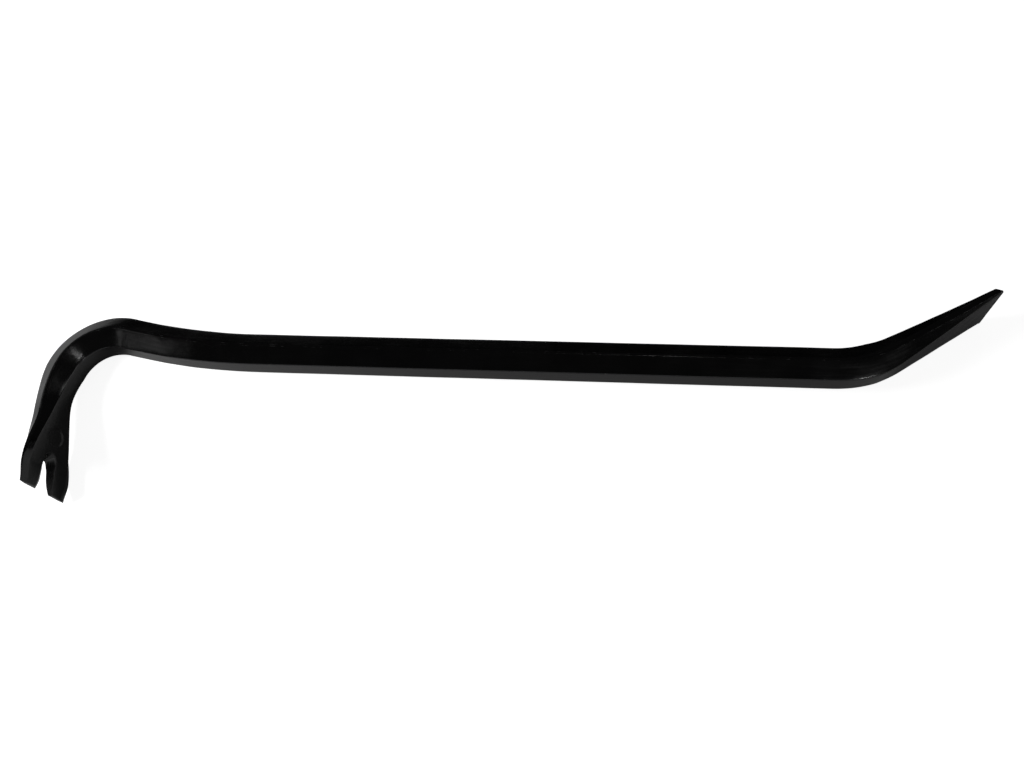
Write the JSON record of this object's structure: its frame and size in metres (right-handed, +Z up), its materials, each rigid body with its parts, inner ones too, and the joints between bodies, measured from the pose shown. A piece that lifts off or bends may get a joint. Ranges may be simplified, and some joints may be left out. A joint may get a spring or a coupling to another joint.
{
  "type": "gooseneck pry bar",
  "caption": "Hexagonal steel pry bar with a slotted nail claw on a gooseneck hook and an offset chisel, lying on its side.",
  "frame": {"origin": "centre of the bounding box's base, on the surface that the bar lies on", "axes": "+X along the shank towards the chisel, +Y away from the side that the hook points to, +Z up off the surface"},
  "size_m": [0.441, 0.1116, 0.0377],
  "materials": {
    "black_enamel": "gloss black stoved enamel over forged steel"
  },
  "bodies": {
    "root": {"forged_bar": "black_enamel"}
  },
  "joints": []
}
